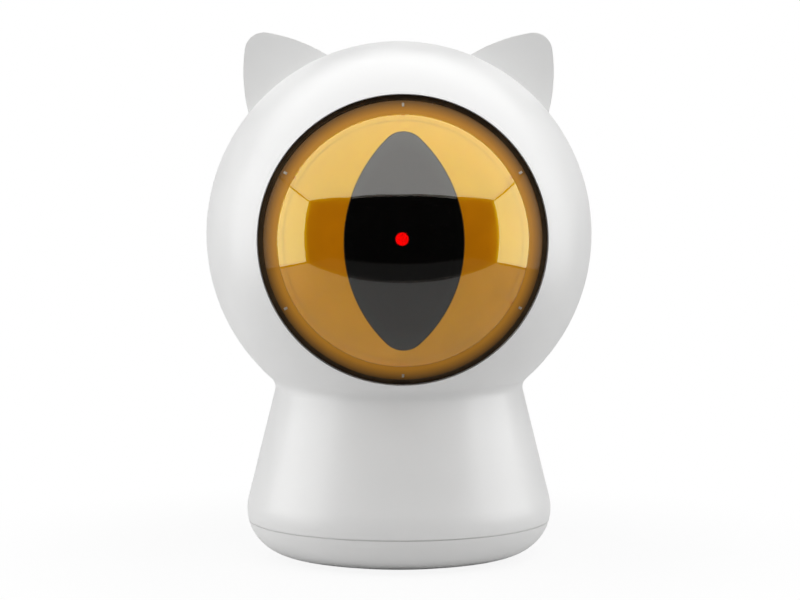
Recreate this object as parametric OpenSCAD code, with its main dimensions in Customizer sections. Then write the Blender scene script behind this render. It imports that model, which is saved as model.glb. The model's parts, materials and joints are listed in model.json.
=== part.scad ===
// Cat laser pointer: a ball head with ears and one amber eye on a tapered body.
// Inside the head a two-axis drive points a small laser through the slit pupil.
// Millimetres, +Z up, the eye looks along -Y, the origin is on the floor under the head.

/* [Head] */
// Outer diameter of the ball head
head_d = 92; // [88:1:96]
// Height of the head's centre above the floor
head_z = 77; // [75:0.5:80]
// Wall of the moulded shells
wall = 2.2; // [1.8:0.1:2.6]
// Depth of the tongue where the two shells meet
lip = 1.6; // [1.2:0.1:2.4]

/* [Ears] */
// Lean of each ear from the upright, in degrees
ear_lean = 36.5; // [34:0.5:40]
// Width of an ear where it leaves the head
ear_w = 23.4; // [21:0.2:26]
// Height of an ear's tip above the ball
ear_h = 12.7; // [10:0.1:15]
// Radius of an ear's tip
ear_tip_r = 4.6; // [4:0.1:6]
// Radius of an ear's bowed sides
ear_side_r = 39.5; // [34:0.5:60]
// Distance of the flat ear fronts behind the parting line
ear_back = 1.5; // [0.5:0.1:4]

/* [Body] */
// Widest diameter of the foot
base_d = 73; // [72:0.5:77]
// Radius of the rounded bottom edge
base_round = 10.8; // [10:0.1:12]
// Slope of the flanks from the upright, in degrees
flank_angle = 14; // [12.5:0.1:15]
// Radius of the hollow between head and body
neck_fillet = 3; // [2:0.1:5]
// Height of the seam between body and base cover
seam_z = 8.8; // [8:0.1:9.6]
// Width of the seam
seam_gap = 0.2; // [0.15:0.05:0.5]

/* [Foot ring] */
// How far the rubber ring stands out below the base cover
foot_h = 0.5; // [0.3:0.1:1]
// Thickness of the rubber ring
foot_t = 1.6; // [1.4:0.1:2]
// Inner diameter of the rubber ring
foot_in_d = 36; // [30:0.5:40]
// Outer diameter of the rubber ring
foot_out_d = 48; // [44:0.5:49]

/* [Eye] */
// Diameter of the eye opening
eye_d = 66.2; // [62:0.2:68]
// Width of the flat lip round the eye opening
eye_lip = 0.8; // [0.4:0.1:1.2]
// Visible width of the dark gasket
gasket_w = 1.1; // [0.8:0.1:1.6]
// Thickness of the amber dome
dome_t = 1.6; // [1.2:0.1:2]
// Number of snap hooks on the dome
hooks = 6; // [4:1:8]
// Width of a snap hook, in degrees of the rim
hook_arc = 7; // [5:0.5:10]
// Reach of a snap hook past the dome
hook_reach = 2.6; // [2.2:0.1:3]
// Diameter of the amber reflector behind the dome
iris_d = 55.6; // [54:0.2:57]
// Thickness of the reflector
iris_t = 0.8; // [0.6:0.1:1.2]
// Width of the slit pupil
pupil_w = 26.8; // [22:0.2:30]
// Height of the slit pupil
pupil_h = 50; // [46:0.5:52]
// Radius of the pupil's tips
pupil_tip_r = 2.4; // [1.5:0.1:4]
// Thickness of the pupil window
pupil_t = 1.2; // [0.8:0.1:1.6]

/* [Drive] */
// Gear module
gear_m = 0.5; // [0.5:0.05:0.55]
// Teeth of each motor pinion
pinion_n = 16; // [16:1:18]
// Teeth of the pan gear
pan_n = 52; // [48:1:54]
// Teeth of the tilt gear
tilt_n = 44; // [40:1:46]
// Thickness of the gears
gear_t = 3; // [2:0.2:4]
// Diameter of the motor cans
motor_d = 15; // [13:0.5:16]
// Length of the motor cans
motor_h = 11.5; // [10:0.5:12]
// Distance from a motor's shaft to its ear screws
motor_ear = 9.8; // [9.6:0.1:10.4]
// Diameter of the motor shafts
shaft_d = 2; // [1.5:0.1:2.5]
// Thickness of the drive deck
deck_t = 3; // [2.4:0.1:4]
// Diameter of the yoke's hub
hub_d = 9; // [8:0.2:11]
// Wall and flange of the bushes
bush_t = 1; // [0.8:0.1:1.4]
// Clear width between the yoke's arms
arm_gap = 26; // [25:0.2:29]
// Thickness of the yoke's arms and turntable
arm_t = 2.5; // [2:0.1:3]
// Diameter of the cradle's trunnions
trunnion_d = 4; // [3:0.1:4.4]

/* [Laser] */
// Diameter of the laser barrel
barrel_d = 9; // [8:0.1:9.4]
// Reach of the barrel in front of the tilt axis
barrel_front = 25; // [20:0.5:27]
// Reach of the barrel behind the tilt axis
barrel_back = 6; // [5.8:0.2:8]
// Length of the cradle along the barrel
cradle_l = 11; // [10:0.5:11.4]
// Wall of the cradle round the barrel
cradle_wall = 2; // [1.6:0.1:2.4]
// Diameter of the lens that shows as the red dot
lens_d = 3; // [2:0.1:4]

/* [Electronics] */
// Width of the main board
board_w = 30; // [26:0.5:31]
// Height of the main board
board_h = 20; // [19.5:0.1:20.4]
// Thickness of the main board
board_t = 1.6; // [1:0.1:2]
// Height of the power inlet above the floor
usb_z = 14.6; // [14.2:0.1:15]
// Length of the power inlet's shell
usb_l = 10.2; // [9.6:0.1:10.6]
// Width of the power inlet's shell
usb_w = 8.94; // [8.6:0.02:9.2]
// Height of the power inlet's shell
usb_h = 3.26; // [3:0.02:3.4]
// Height of the power button above the floor
button_z = 25.5; // [25:0.1:26]
// Diameter of the power button
button_d = 8; // [6:0.2:8.4]
// How far the button stands out of the body
button_proud = 0.8; // [0.6:0.1:1.5]
// Travel of the button
button_travel = 0.5; // [0.3:0.05:0.6]

/* [Batteries] */
// Diameter of a cell
cell_d = 10.5; // [10:0.1:10.7]
// Length of a cell with its nub
cell_l = 44.5; // [43:0.1:44.8]
// Wall of the battery tray
tray_wall = 1.2; // [1:0.1:1.4]
// Room for the sprung contact at a cell's end
spring_l = 3.6; // [3:0.1:4]
// Thickness of the contact metal
contact_t = 0.4; // [0.3:0.05:0.5]

/* [Fits] */
// Clearance of bonded and clipped pieces
fit = 0.1; // [0.05:0.01:0.15]
// Radial clearance of turning pieces
run = 0.05; // [0.03:0.01:0.08]
// Diameter of the screws
screw_d = 2.2; // [1.8:0.1:2.4]
// Diameter of the screw heads
screw_head_d = 4; // [3.6:0.1:4.4]
// Height of the screw heads
screw_head_h = 1.3; // [1:0.1:1.5]

/* [Hidden] */
$fn = 96;

// Overshoot of cuts, and the reach of cutting shapes that end outside the object
eps = 0.01;
far = 3 * head_d;
// Where a turned surface closes on itself, away from the parting plane
seam_turn = 60;

// Outer form, in the plane of radius and height
head_r = head_d / 2;
head_c = [0, head_z];
flank_n = [cos(flank_angle), sin(flank_angle)];
flank_down = [sin(flank_angle), -cos(flank_angle)];
round_c = [base_d / 2 - base_round, foot_h + base_round];
flank_off = round_c * flank_n + base_round;
neck_along = flank_off + neck_fillet - head_c * flank_n;
neck_across = sqrt(pow(head_r + neck_fillet, 2) - pow(neck_along, 2));
neck_c = head_c + neck_along * flank_n + neck_across * flank_down;
neck_dir = (neck_c - head_c) / norm(neck_c - head_c);
neck_in_r = neck_c.x - neck_fillet - wall;

// The tongue between the shells starts above the rounded foot
tongue_low = (round_c + (base_round - wall) * flank_n).y + wall;

// Radius of the form at a height, at a depth below the outer surface
function form_r(z, inset) =
    z < (round_c + (base_round - inset) * flank_n).y
        ? round_c.x + sqrt(pow(base_round - inset, 2) - pow(min(z - round_c.y, base_round), 2))
    : z < (neck_c - (neck_fillet + inset) * flank_n).y
        ? (flank_off - inset - z * flank_n.y) / flank_n.x
    : z < (head_c + (head_r - inset) * neck_dir).y
        ? neck_c.x - sqrt(pow(neck_fillet + inset, 2) - pow(z - neck_c.y, 2))
    : sqrt(pow(head_r - inset, 2) - pow(z - head_z, 2));

// Ears: a bowed side that touches the round tip from inside
ear_tip_c = [0, head_r + ear_h - ear_tip_r];
ear_foot = [ear_w / 2, sqrt(pow(head_r, 2) - pow(ear_w / 2, 2))];
ear_side_c = circles_meet(ear_foot, ear_side_r, ear_tip_c, ear_side_r - ear_tip_r);
ear_low = head_r - 3 * wall;

// The point where two circles cross, on the left of the way from p to q
function circles_meet(p, rp, q, rq) =
    let (d = norm(q - p),
         a = (rp * rp - rq * rq + d * d) / (2 * d),
         h = sqrt(rp * rp - a * a),
         u = (q - p) / d)
    p + a * u + h * [-u.y, u.x];

// Eye, in radius and distance out from the head's centre
eye_r = eye_d / 2;
eye_edge = sqrt(pow(head_r, 2) - pow(eye_r + eye_lip, 2));
eye_lip_drop = 0.4 * eye_lip;
dome_r = eye_r - gasket_w - 2 * fit;
dome_rim = eye_edge + eye_lip;
dome_rise = head_r - dome_rim;
dome_ball = (pow(dome_r, 2) + pow(dome_rise, 2)) / (2 * dome_rise);
dome_c = [0, head_r - dome_ball];
hook_r = dome_r + hook_reach;
hook_in = dome_r - dome_t + 2 * fit;
hook_out = dome_r - 2 * fit;
hook_t = 1.6;
hook_top = sqrt(pow(head_r - wall, 2) - pow(hook_r, 2)) - 2.5 * fit;
dome_low = hook_top + 3 * fit;
gasket_top = eye_edge - eye_lip_drop - 0.5;
iris_ball = dome_ball - dome_t - 2 * fit;
iris_r = iris_d / 2;
carrier_r = dome_r - dome_t - fit;
carrier_w = 2;

// Back of the body: board, inlet and button
board_back = form_r(usb_z, 0) - 1.6 - usb_l;
board_front = board_back - board_t;
board_low = usb_z - 4;
usb_mouth = board_back + usb_l;
inlet_pocket = [usb_w + 4.2, usb_h + 4.2];
switch_w = 6;
switch_h = 3.3;
plunger_d = 3.4;
plunger_top = board_back + switch_h + button_travel + 0.25;
button_flange_r = button_d / 2 + 1.2;
button_flange_y = sqrt(pow(form_r(button_z + button_flange_r, wall), 2)
                       - pow(button_flange_r, 2)) - 2 * fit;
button_room = 0.15;
board_screw = [board_w / 2 - 3, board_low + board_h - 3];
board_grip = 3;
board_edge = 1;
wifi_size = [13, 0.8, 15];
wifi_can = [11.8, 1.4, 9.8];
chip_size = [5, 1.4, 7];
chip_in = 4.2;
socket_size = [4.4, 2.4, 2.8];
socket_x = [-5, 1];
socket_drop = 3.4;

// Drive deck in the throat of the head, with its motor above the board
deck_room = 1;
motor_room = 1.55;
deck_z = board_low + board_h + motor_room + motor_h;
deck_r = min(form_r(deck_z, wall), form_r(deck_z + deck_t, wall)) - deck_room;
deck_front = hook_top - hook_t - 1;
deck_boss_r = min(neck_in_r, deck_r) - 2;
deck_boss_h = 9;
deck_angles = [42, 138];
boss_r = 3;
rib_t = 2.4;

// Gears and the pan stack, upwards from the deck
press_angle = 20;
backlash = 0.06;
pinion_r = gear_m * pinion_n / 2;
pan_reach = gear_m * (pinion_n + pan_n) / 2;
tilt_reach = gear_m * (pinion_n + tilt_n) / 2;
tilt_dir = -45;
bush_d = hub_d + 2 * run + 2 * bush_t;
bush_flange_d = bush_d + 3;
lead_slot = [12, 5];
lead_y = (bush_flange_d / 2 + deck_front) / 2;
thrust_z = deck_z + deck_t + bush_t + run;
gear_boss_h = 1.2;
pan_gear_z = thrust_z + gear_boss_h;
table_z = pan_gear_z + gear_t;
hub_low = deck_z - 0.2;
washer_t = 1;
ear_plate_t = 1;
motor_ear_r = 2.4;
motor_pilot_d = 2 * shaft_d + 2;
motor_pilot_h = 1;
shaft_in = 5;

// Tilt stack, outwards from the middle
arm_in = arm_gap / 2;
arm_out = arm_in + arm_t;
tilt_bush_d = trunnion_d + 2 * run + 2 * bush_t;
tilt_gear_x = -(arm_in - bush_t - run);
cradle_r = barrel_d / 2 + cradle_wall;
cradle_ear_x = arm_in - bush_t - gear_t - 2 * run;
cradle_ear_t = 2.4;
cradle_screw = [cradle_ear_x - 1.4, cradle_l / 2 - 1.4];
cradle_screw_d = 1.4;
arm_top_r = tilt_bush_d / 2 + 3;
arm_foot_y = 8;
tilt_centre = tilt_reach * [cos(tilt_dir), sin(tilt_dir)];
arm_back_y = tilt_centre.x + motor_ear * cos(tilt_dir) + motor_ear_r + 1;

// Bayonet of the base cover and the battery tray above it
ledge_z = seam_z + 2 * fit;
ledge_t = 1.4;
lug_z = ledge_z + ledge_t + 2 * fit;
lug_t = 1.4;
lug_r = form_r(lug_z, wall) - 6 * fit;
ring_out = lug_r - 1.7;
ring_in = ring_out - 1.8;
ring_low = round_c.y - sqrt(pow(base_round - wall, 2) - pow(ring_in - round_c.x, 2)) - 3 * fit;
lug_arc = 24;
rear_lugs = [30, 150];
front_lugs = [90];
plate_z = lug_z + lug_t + 1;
plate_t = 2.4;
plate_r = form_r(plate_z, wall) - 8 * fit;
cell_gap = 0.3;
well_l = cell_l + spring_l + 2 * contact_t + cell_gap;
well_w = 3 * cell_d + 4 * cell_gap;
well_top = plate_z + cell_d + 2 * cell_gap;
well_corner = 3;
tray_boss_r = plate_r - 3.6;
tray_angles = [47, 133];
tray_boss_h = 8;
cell_z = plate_z + cell_gap + cell_d / 2;

// Screws that hold the shells together, seen from the back
shell_boss_r = 3.4;
shell_boss_z = (well_top + tray_wall + deck_z - deck_boss_h) / 2;
shell_bosses = [
    [-(form_r(shell_boss_z, wall) - 5.2), shell_boss_z],
    [form_r(shell_boss_z, wall) - 5.2, shell_boss_z]];
shell_seat = 6;
shell_screw_l = 14;
shell_screw_d = screw_d + 0.4;

// Colours
white = "#f2f2f0";
amber = "#b9781e";
gold = "#c98a2b";
black = "#1c1c1e";
smoke = "#141416";
steel = "#b9bcc0";
brass = "#b8923e";
natural = "#e6e2d6";
green = "#1f5a3c";

// Frames of the moving and the facing pieces
module eye_axis() {
    translate([0, 0, head_z]) rotate([90, 0, 0]) children();
}

module tilt_axis(x) {
    translate([x, 0, head_z]) rotate([90, 0, 90]) children();
}

module back_axis(x, y, z) {
    translate([x, y, z]) rotate([-90, 0, 0]) children();
}

// Upright section through the form, at a depth below its surface
module section(inset) {
    right = [[round_c.x, foot_h + inset],
             round_c + (base_round - inset) * flank_n,
             neck_c - (neck_fillet + inset) * flank_n,
             neck_c];
    left = [for (i = [len(right) - 1:-1:0]) [-right[i].x, right[i].y]];
    translate(head_c) circle(head_r - inset);
    difference() {
        polygon(concat(right, [head_c], left));
        for (m = [0, 1]) mirror([m, 0]) translate(neck_c) circle(neck_fillet + inset);
    }
    for (m = [0, 1]) mirror([m, 0]) translate(round_c) circle(base_round - inset);
}

// The right half of the section, in radius and height
module outline(inset) {
    intersection() {
        section(inset);
        square(far);
    }
}

// The form turned from the outline, from a height upwards
module form(inset, low) {
    rotate([0, 0, seam_turn]) rotate_extrude()
        intersection() {
            outline(inset);
            translate([0, low]) square(far);
        }
}

// Skin between two depths below the surface, over half a turn on the +Y side
module half_skin(outer, inner) {
    rotate_extrude(angle = 180)
        intersection() {
            difference() {
                outline(outer);
                outline(inner);
            }
            translate([0, seam_z]) square(far);
        }
}

// Half the side view of an ear, at a depth below its surface
module ear_outline(inset) {
    touch = ear_side_c + ear_side_r * (ear_tip_c - ear_side_c) / norm(ear_tip_c - ear_side_c);
    intersection() {
        translate(ear_side_c) circle(ear_side_r - inset);
        translate([0, ear_low]) square([far, touch.y - ear_low]);
    }
    intersection() {
        translate(ear_tip_c) circle(ear_tip_r - inset);
        square(far);
    }
}

module ears(inset) {
    for (side = [-1, 1])
        translate([0, ear_back + inset, head_z])
            rotate([0, side * ear_lean, 0])
                rotate_extrude(angle = 180) ear_outline(inset);
}

// Pointed upright oval with rounded tips
module slit(w, h, tip_r) {
    side_r = (h * h + w * w) / (4 * w);
    off = side_r - w / 2;
    tip_y = sqrt(pow(side_r - tip_r, 2) - off * off);
    touch_y = tip_y * side_r / (side_r - tip_r);
    intersection() {
        translate([-off, 0]) circle(side_r);
        translate([off, 0]) circle(side_r);
        square([far, 2 * touch_y], center = true);
    }
    for (s = [-1, 1]) translate([0, s * tip_y]) circle(tip_r);
}

module rounded_box_2d(l, w, r) {
    square([l - 2 * r, w], center = true);
    for (s = [-1, 1])
        translate([s * (l / 2 - r / 2), 0]) square([r, w - 2 * r], center = true);
    for (sx = [-1, 1], sy = [-1, 1])
        translate([sx * (l / 2 - r), sy * (w / 2 - r)]) intersection() {
            circle(r);
            translate([sx * r, sy * r]) square(2 * r, center = true);
        }
}

// Flat band with round ends
module stadium_2d(w, h) {
    rounded_box_2d(w, h, h / 2 - eps);
}

// Screw with its head on top of z = 0 and its shank below
module screw(l, d = screw_d, head_d = screw_head_d, head_h = screw_head_h) {
    difference() {
        union() {
            cylinder(d = head_d, h = head_h);
            translate([0, 0, -l]) cylinder(d = d, h = l + eps);
        }
        for (a = [0, 90])
            rotate([0, 0, a]) translate([0, 0, head_h])
                cube([0.6 * head_d, 0.16 * head_d, head_h], center = true);
    }
}

// Involute spur gear, with a tooth on the x axis
function inv(a) = tan(a) * 180 / PI - a;

module gear_2d(teeth) {
    pitch_r = gear_m * teeth / 2;
    base_r = pitch_r * cos(press_angle);
    tip_r = pitch_r + gear_m;
    root_r = pitch_r - 1.25 * gear_m;
    start_r = max(base_r, root_r) + eps;
    steps = 4;
    thin = backlash / 4 / pitch_r * 180 / PI;
    function half(r) = 90 / teeth - thin + inv(press_angle) - inv(acos(base_r / r));
    rise = [for (i = [0:steps]) start_r + (tip_r - start_r) * i / steps];
    flank = concat([[root_r, half(start_r)]], [for (r = rise) [r, half(r)]]);
    last = len(flank) - 1;
    polygon([for (t = [0:teeth - 1], i = [0:2 * last + 1])
        let (p = i <= last ? flank[i] : flank[2 * last + 1 - i],
             a = 360 * t / teeth + (i <= last ? -p[1] : p[1]))
        p[0] * [cos(a), sin(a)]]);
}

// Small can motor: its mounting face is at z = 0 and the shaft leaves upwards
module motor() {
    difference() {
        union() {
            translate([0, 0, -motor_h]) cylinder(d = motor_d, h = motor_h);
            translate([0, 0, -eps]) cylinder(d = motor_pilot_d, h = motor_pilot_h);
            translate([0, 0, -ear_plate_t]) linear_extrude(ear_plate_t) {
                square([2 * motor_ear, 2 * motor_ear_r], center = true);
                for (s = [-1, 1]) translate([s * motor_ear, 0]) circle(motor_ear_r);
            }
        }
        translate([0, 0, -shaft_in - 1]) cylinder(d = shaft_d + 2 * run, h = far);
        for (s = [-1, 1]) translate([s * motor_ear, 0, -motor_h])
            cylinder(d = screw_d + 2 * fit, h = far);
    }
}

// Holes that a plate needs for a motor that hangs under it
module motor_holes() {
    cylinder(d = motor_pilot_d + 4 * fit, h = far, center = true);
    for (s = [-1, 1]) translate([s * motor_ear, 0, 0])
        cylinder(d = screw_d + 2 * fit, h = far, center = true);
}

module motor_screws(plate) {
    for (s = [-1, 1]) translate([s * motor_ear, 0, -ear_plate_t])
        rotate([180, 0, 0]) screw(ear_plate_t + plate);
}

// Turns the +Y side to the front for side -1
module half_turn(side) {
    rotate([0, 0, side > 0 ? 0 : 180]) children();
}

// Bosses and bayonet ledges inside a shell that lies on the +Y side
module shell_fixings(side) {
    for (a = deck_angles) rotate([0, 0, a]) translate([deck_boss_r, 0, deck_z - deck_boss_h]) {
        cylinder(r = boss_r, h = deck_boss_h);
        translate([0, -rib_t / 2, 0]) cube([far, rib_t, deck_boss_h]);
    }
    for (a = tray_angles) rotate([0, 0, a]) translate([tray_boss_r, 0, plate_z + plate_t]) {
        cylinder(r = boss_r, h = tray_boss_h);
        translate([0, -rib_t / 2, 0]) cube([far, rib_t, tray_boss_h]);
    }
    for (a = side > 0 ? rear_lugs : front_lugs) rotate([0, 0, a - lug_arc / 2])
        rotate_extrude(angle = lug_arc)
            translate([ring_out + 4 * fit, ledge_z]) square([far, ledge_t]);
    for (p = shell_bosses) back_axis(p.x, side > 0 ? -lip : lip + fit, p.y)
        cylinder(r = shell_boss_r, h = far);
}

// Bores for the screws of the deck and the tray
module fixing_bores() {
    for (a = deck_angles) rotate([0, 0, a])
        translate([deck_boss_r, 0, deck_z - deck_boss_h + 1])
            cylinder(d = screw_d + 2 * fit, h = deck_boss_h);
    for (a = tray_angles) rotate([0, 0, a])
        translate([tray_boss_r, 0, plate_z]) cylinder(d = screw_d + 2 * fit, h = tray_boss_h + plate_t - 1);
}

module front_shell() {
    color(white) difference() {
        half_turn(-1) union() {
            half_skin(0, wall);
            intersection() {
                form(wall / 2, seam_z);
                shell_fixings(-1);
            }
        }
        rotate([90, 0, 0]) linear_extrude(2 * (lip + fit), center = true) intersection() {
            section(wall / 2);
            translate([-far / 2, tongue_low]) square(far);
        }
        eye_axis() rotate_extrude()
            polygon([[0, 0], [eye_r, 0], [eye_r, eye_edge - eye_lip_drop],
                     [eye_r + 6 * eye_lip, eye_edge + 5 * eye_lip_drop],
                     [eye_r + 6 * eye_lip, head_r + wall], [0, head_r + wall]]);
        half_turn(-1) fixing_bores();
        for (p = shell_bosses) back_axis(p.x, shell_seat - shell_screw_l - 1, p.y)
            cylinder(d = shell_screw_d + 2 * fit, h = shell_screw_l);
    }
}

// Ears, open into the head
module ear_skins() {
    difference() {
        ears(0);
        translate([0, 0, head_z]) sphere(head_r - wall / 2);
    }
}

// Tongue that fills the front shell's rebate, with a break at the crown
module tongue() {
    for (m = [0, 1]) mirror([m, 0, 0]) rotate([90, 0, 0])
        linear_extrude(2 * lip, center = true) intersection() {
            difference() {
                outline(wall / 2 + fit);
                outline(wall - fit);
            }
            translate([shell_boss_r / 2, tongue_low + fit]) square(far);
        }
}

module rear_shell() {
    color(white) difference() {
        union() {
            half_skin(0, wall);
            ear_skins();
            tongue();
            intersection() {
                form(wall / 2, seam_z);
                union() {
                    shell_fixings(1);
                    for (s = [-1, 1]) back_axis(s * board_screw.x, board_back, board_screw.y)
                        cylinder(r = boss_r, h = far);
                }
            }
        }
        ears(wall);
        fixing_bores();
        for (p = shell_bosses) back_axis(p.x, 0, p.y) {
            cylinder(d = shell_screw_d + 2 * fit, h = 2 * shell_seat, center = true);
            translate([0, 0, shell_seat]) cylinder(d = screw_head_d + 1 + 2 * fit, h = far);
        }
        for (s = [-1, 1]) back_axis(s * board_screw.x, 0, board_screw.y)
            cylinder(d = screw_d + 2 * fit, h = board_back + 3.6);
        back_axis(0, 0, usb_z) linear_extrude(far)
            rounded_box_2d(usb_w + 6 * fit, usb_h + 6 * fit, usb_h / 2 - 2 * fit);
        back_axis(0, usb_mouth + 2 * fit, usb_z) linear_extrude(far)
            rounded_box_2d(inlet_pocket.x, inlet_pocket.y, 2.4);
        back_axis(0, 0, button_z) cylinder(d = button_d + 2 * button_room, h = far);
    }
}

module shell_screws() {
    color(steel) for (p = shell_bosses) back_axis(p.x, shell_seat, p.y)
        screw(shell_screw_l, shell_screw_d, screw_head_d + 1, screw_head_h + 0.4);
}

module base_cover() {
    color(white) difference() {
        union() {
            rotate_extrude() intersection() {
                difference() {
                    outline(0);
                    outline(wall);
                }
                square([far, seam_z - seam_gap]);
            }
            translate([0, 0, ring_low]) difference() {
                cylinder(r = ring_out, h = lug_z + lug_t - ring_low);
                translate([0, 0, -eps]) cylinder(r = ring_in, h = far);
            }
            for (a = concat(rear_lugs, front_lugs + [180])) rotate([0, 0, a - lug_arc / 2])
                rotate_extrude(angle = lug_arc)
                translate([ring_out - wall / 2, lug_z]) square([lug_r - ring_out + wall / 2, lug_t]);
        }
        difference() {
            cylinder(d = foot_out_d + 2 * fit, h = foot_t);
            translate([0, 0, -eps]) cylinder(d = foot_in_d - 2 * fit, h = far);
        }
    }
}

module foot_ring() {
    color(black) difference() {
        cylinder(d = foot_out_d, h = foot_t);
        translate([0, 0, -eps]) cylinder(d = foot_in_d, h = far);
    }
}

// Part of a ball about the dome's centre, inside a cylinder along the eye's axis
module ball_cap(ball, r, low) {
    intersection() {
        translate([0, 0, dome_c.y]) rotate([90, 0, 0]) sphere(ball);
        translate([0, 0, low]) cylinder(r = r, h = far);
    }
}

module eye_dome() {
    color(amber) eye_axis() {
        difference() {
            ball_cap(dome_ball, dome_r, dome_low);
            ball_cap(dome_ball - dome_t, dome_r - dome_t, 0);
        }
        for (i = [0:hooks - 1]) rotate([0, 0, 90 + 360 / hooks * i - hook_arc / 2])
            rotate_extrude(angle = hook_arc)
                polygon([[hook_in, hook_top - hook_t], [hook_out, hook_top - hook_t],
                         [hook_r, hook_top - fit], [hook_r, hook_top], [hook_out, hook_top],
                         [hook_out, dome_low + dome_t], [hook_in, dome_low + dome_t]]);
    }
}

module eye_gasket() {
    color(black) eye_axis() rotate_extrude()
        translate([dome_r + fit, dome_low])
            square([eye_r - dome_r - 2 * fit, gasket_top - dome_low]);
}

module iris_cup() {
    color(gold) eye_axis() difference() {
        rotate_extrude() intersection() {
            difference() {
                translate(dome_c) circle(iris_ball);
                translate(dome_c) circle(iris_ball - iris_t);
            }
            translate([0, dome_c.y]) square([iris_r, far]);
        }
        linear_extrude(far) slit(pupil_w, pupil_h, pupil_tip_r);
    }
}

module iris_carrier() {
    top = dome_c.y + sqrt(pow(iris_ball - iris_t, 2) - pow(iris_r, 2));
    color(amber) eye_axis() rotate_extrude() intersection() {
        polygon([[iris_r - carrier_w, dome_low], [carrier_r, dome_low], [carrier_r, dome_low + 1],
                 [iris_r, top], [iris_r, far], [iris_r - carrier_w, far]]);
        translate(dome_c) circle(iris_ball - iris_t - fit);
    }
}

module pupil_window() {
    color(smoke) eye_axis() intersection() {
        difference() {
            ball_cap(iris_ball, iris_r, dome_c.y);
            ball_cap(iris_ball - pupil_t, iris_r + 1, 0);
        }
        linear_extrude(far) slit(pupil_w - 2 * fit, pupil_h - 2 * fit, pupil_tip_r);
    }
}

module drive_deck() {
    color(natural) difference() {
        translate([0, 0, deck_z]) cylinder(r = deck_r, h = deck_t);
        translate([-far / 2, -deck_front - far, 0]) cube(far);
        cylinder(d = bush_d, h = far);
        translate([0, pan_reach, deck_z]) motor_holes();
        for (side = [-1, 1], a = deck_angles) half_turn(side) rotate([0, 0, a])
            translate([deck_boss_r, 0, 0]) cylinder(d = screw_d + 2 * fit, h = far);
        translate([0, -lead_y, 0]) linear_extrude(far) rounded_box_2d(lead_slot.x, lead_slot.y, 2.4);
    }
}

module deck_screws() {
    color(steel) for (side = [-1, 1], a = deck_angles) half_turn(side) rotate([0, 0, a])
        translate([deck_boss_r, 0, deck_z + deck_t]) screw(deck_t + deck_boss_h - 2);
}

module pan_bush() {
    color(black) translate([0, 0, deck_z]) difference() {
        union() {
            cylinder(d = bush_d - 2 * run, h = deck_t + eps);
            translate([0, 0, deck_t]) cylinder(d = bush_flange_d, h = bush_t);
        }
        cylinder(d = hub_d + 2 * run, h = far, center = true);
    }
}

module pan_motor() {
    color(steel) translate([0, pan_reach, deck_z]) motor();
}

module pan_motor_screws() {
    color(steel) translate([0, pan_reach, deck_z]) motor_screws(deck_t - 0.4);
}

module pan_motor_shaft() {
    color(steel) translate([0, pan_reach, deck_z - shaft_in])
        cylinder(d = shaft_d, h = table_z - 3 * fit - deck_z + shaft_in);
}

module pan_pinion() {
    color(brass) translate([0, pan_reach, pan_gear_z]) difference() {
        rotate([0, 0, 270 + 180 / pinion_n]) linear_extrude(gear_t - 3 * fit) gear_2d(pinion_n);
        cylinder(d = shaft_d + 2 * run, h = far, center = true);
    }
}

// Turntable with two arms: the arm at -X also carries the tilt motor
module pan_yoke() {
    color(black) difference() {
        union() {
            translate([0, 0, hub_low]) cylinder(d = hub_d, h = table_z - hub_low + eps);
            translate([-arm_out, -arm_foot_y, table_z]) cube([2 * arm_out, arm_foot_y + arm_back_y, arm_t]);
            tilt_axis(-arm_out) linear_extrude(arm_t) {
                circle(arm_top_r);
                polygon([[-arm_foot_y, table_z - head_z], [arm_back_y, table_z - head_z],
                         [arm_back_y, 0], [0, arm_top_r], [-arm_top_r, 0]]);
            }
            tilt_axis(arm_in) linear_extrude(arm_t) {
                circle(arm_top_r);
                polygon([[-arm_foot_y, table_z - head_z], [arm_foot_y, table_z - head_z],
                         [arm_top_r, 0], [-arm_top_r, 0]]);
            }
        }
        translate([0, 0, hub_low - eps]) cylinder(d = shell_screw_d + 2 * fit, h = 9);
        tilt_axis(0) cylinder(d = tilt_bush_d, h = far, center = true);
        tilt_motor_place() motor_holes();
    }
}

module tilt_motor_place() {
    tilt_axis(-arm_out) translate(tilt_centre) rotate([0, 0, tilt_dir + 90]) children();
}

module pan_gear() {
    color(natural) difference() {
        union() {
            translate([0, 0, pan_gear_z]) linear_extrude(gear_t) rotate([0, 0, 90]) gear_2d(pan_n);
            translate([0, 0, thrust_z]) cylinder(d = hub_d + 5, h = gear_boss_h + eps);
        }
        cylinder(d = hub_d + run, h = far);
    }
}

module pan_washer() {
    color(steel) translate([0, 0, hub_low - washer_t]) difference() {
        cylinder(d = hub_d + 5, h = washer_t);
        cylinder(d = shell_screw_d + 2 * fit, h = far, center = true);
    }
}

module pan_screw() {
    color(steel) translate([0, 0, hub_low - washer_t]) rotate([180, 0, 0])
        screw(8, shell_screw_d, screw_head_d + 1, screw_head_h + 0.4);
}

module tilt_bushes() {
    color(brass) for (s = [-1, 1]) difference() {
        union() {
            tilt_axis(s * (arm_in + arm_t / 2))
                cylinder(d = tilt_bush_d - 2 * run, h = arm_t, center = true);
            tilt_axis(s * (arm_in - bush_t / 2))
                cylinder(d = tilt_bush_d + 2, h = bush_t, center = true);
        }
        tilt_axis(0) cylinder(d = trunnion_d + 2 * run, h = far, center = true);
    }
}

module tilt_motor() {
    color(steel) tilt_motor_place() motor();
}

module tilt_motor_screws() {
    color(steel) tilt_motor_place() motor_screws(arm_t - 0.4);
}

module tilt_motor_shaft() {
    color(steel) tilt_motor_place() translate([0, 0, -shaft_in])
        cylinder(d = shaft_d, h = shaft_in + arm_out + tilt_gear_x + gear_t);
}

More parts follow.
